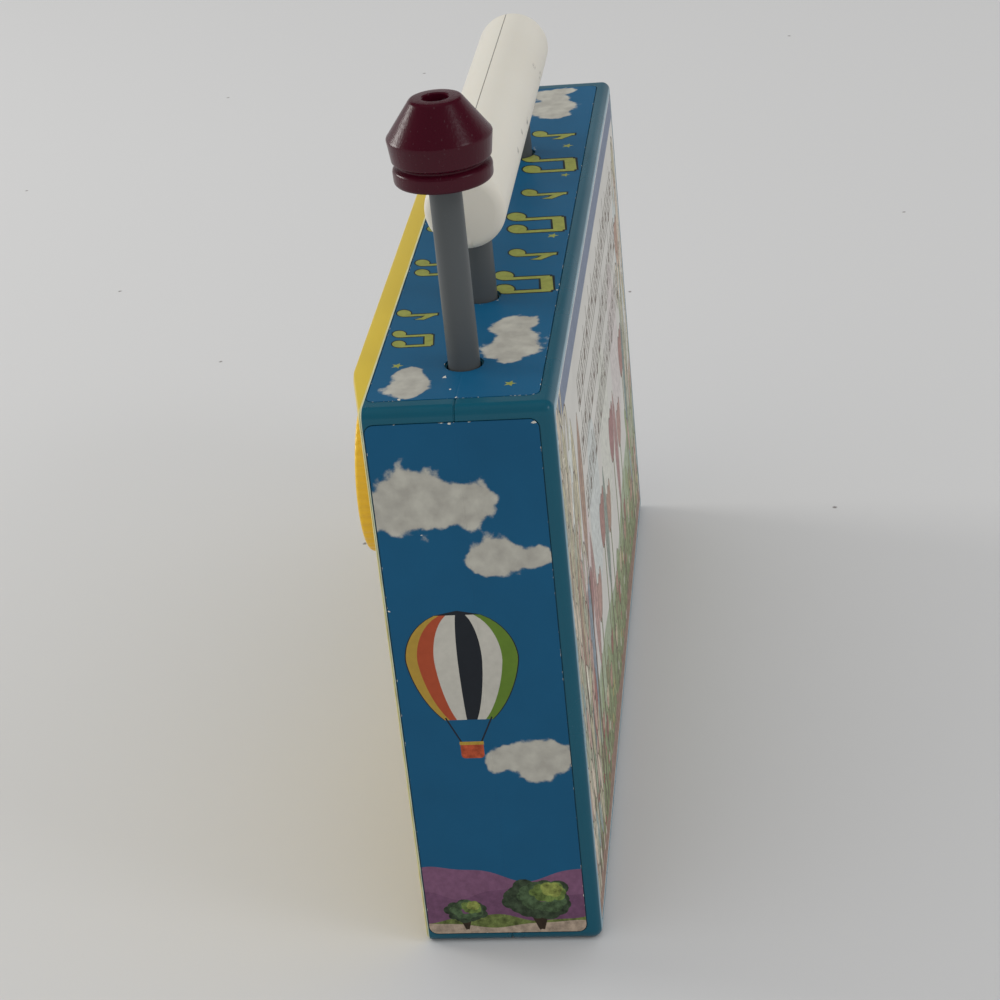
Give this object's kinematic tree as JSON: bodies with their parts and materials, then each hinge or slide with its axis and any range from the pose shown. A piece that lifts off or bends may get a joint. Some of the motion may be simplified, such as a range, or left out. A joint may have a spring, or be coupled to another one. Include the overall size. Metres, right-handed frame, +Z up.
{
  "type": "wind-up toy radio",
  "caption": "Upright toy radio with a picture screen, winding dial, sound slots, carrying handle and sliding knobbed antenna, driven by a spring wound musical movement and a picture belt.",
  "frame": {"origin": "on the table under the middle of the whole toy", "axes": "+X along the case towards the antenna, -Y out of the screen side, +Y out of the printed back, +Z up"},
  "size_m": [0.2388, 0.0538, 0.2152],
  "materials": {
    "teal_plastic": "moulded, satin gloss",
    "yellow_plastic": "moulded, gloss",
    "ivory_plastic": "moulded, worn satin",
    "grey_plastic": "moulded, satin",
    "maroon_plastic": "turned, glossy",
    "white_plastic": "moulded",
    "printed_paper": "printed, varnished paper",
    "printed_back": "printed, varnished card",
    "clear_pane": "clear moulded plastic",
    "steel": "bright drawn steel",
    "spring_steel": "blued spring steel",
    "brass": "cut brass",
    "cast_zinc": "pressure cast zinc"
  },
  "bodies": {
    "case": {"front_shell": "teal_plastic", "rear_shell": "teal_plastic", "back_panel": "printed_back", "front_bezel": "yellow_plastic", "screen_pane": "clear_pane", "top_label": "printed_paper", "left_end_label": "printed_paper", "right_end_label": "printed_paper", "handle_grip": "ivory_plastic", "handle_post_left": "grey_plastic", "handle_post_right": "grey_plastic", "mainspring": "spring_steel", "spring_housing": "cast_zinc", "movement_bedplate": "cast_zinc", "bedplate_screw_1": "steel", "bedplate_screw_2": "steel", "bedplate_screw_3": "steel", "bedplate_screw_4": "steel", "tuned_comb": "spring_steel", "comb_screw_1": "steel", "comb_screw_2": "steel", "governor_bracket": "cast_zinc", "bracket_screw_1": "steel", "bracket_screw_2": "steel", "transfer_stud": "steel", "picture_belt": "printed_paper"},
    "dial": {"winding_dial": "yellow_plastic", "winding_arbor": "steel", "arbor_clip": "steel", "crown_wheel": "brass", "ratchet_wheel": "steel"},
    "click": {"click": "steel"},
    "drum": {"music_drum": "brass", "drum_pinion": "brass", "drum_wheel": "brass", "feed_pinion": "brass"},
    "intermediate": {"intermediate_arbor": "steel", "intermediate_wheel": "brass"},
    "governor": {"governor_spindle": "steel", "governor_fan": "grey_plastic"},
    "transfer": {"transfer_gear": "white_plastic"},
    "roller_right": {"belt_roller_right": "white_plastic", "roller_gear": "white_plastic"},
    "roller_left": {"belt_roller_left": "white_plastic"},
    "antenna": {"antenna_mast": "grey_plastic", "antenna_stop_collar": "steel", "antenna_knob": "maroon_plastic"}
  },
  "joints": [
    {"name": "dial_wind", "type": "hinge", "parent": "case", "child": "dial", "pos_m": [0.0705, -0.01935, 0.1105], "axis": [0, 1, 0], "range_deg": [0, 1260]},
    {"name": "click_lift", "type": "hinge", "parent": "dial", "child": "click", "pos_m": [0.0591, 0.00802, 0.1107], "axis": [0, -1, 0], "range_deg": [0, 14], "stiffness_Nm_per_rad": 0.00002, "springref_deg": -17.19},
    {"name": "drum_spin", "type": "hinge", "parent": "case", "child": "drum", "pos_m": [0.0705, 0.00025, 0.0588], "axis": [0, 0, 1], "range_deg": [-1, 5041]},
    {"name": "intermediate_spin", "type": "hinge", "parent": "case", "child": "intermediate", "pos_m": [0.07886, 0.0061, 0.0562], "axis": [0, 0, 1], "range_deg": [-9241, 1]},
    {"name": "governor_spin", "type": "hinge", "parent": "case", "child": "governor", "pos_m": [0.089, 0.00241, 0.0562], "axis": [0, 0, 1], "range_deg": [-1, 24025]},
    {"name": "transfer_spin", "type": "hinge", "parent": "case", "child": "transfer", "pos_m": [0.0537, 0.00047, 0.0414], "axis": [0, 0, 1], "range_deg": [-2017, 1]},
    {"name": "roller_right_spin", "type": "hinge", "parent": "case", "child": "roller_right", "pos_m": [0.037, -0.00725, 0.044], "axis": [0, 0, 1], "range_deg": [-1, 3781]},
    {"name": "roller_left_spin", "type": "hinge", "parent": "case", "child": "roller_left", "pos_m": [-0.097, -0.00725, 0.044], "axis": [0, 0, 1], "range_deg": [-1, 3781]},
    {"name": "antenna_slide", "type": "slide", "parent": "case", "child": "antenna", "axis": [0, 0, 1], "range_m": [-0.04, 0]}
  ],
  "couplings": [
    {"joint": "drum_spin", "follows": "dial_wind", "ratio": 4},
    {"joint": "intermediate_spin", "follows": "dial_wind", "ratio": -7.3333},
    {"joint": "governor_spin", "follows": "dial_wind", "ratio": 19.067},
    {"joint": "transfer_spin", "follows": "dial_wind", "ratio": -1.6},
    {"joint": "roller_right_spin", "follows": "dial_wind", "ratio": 3},
    {"joint": "roller_left_spin", "follows": "dial_wind", "ratio": 3}
  ]
}
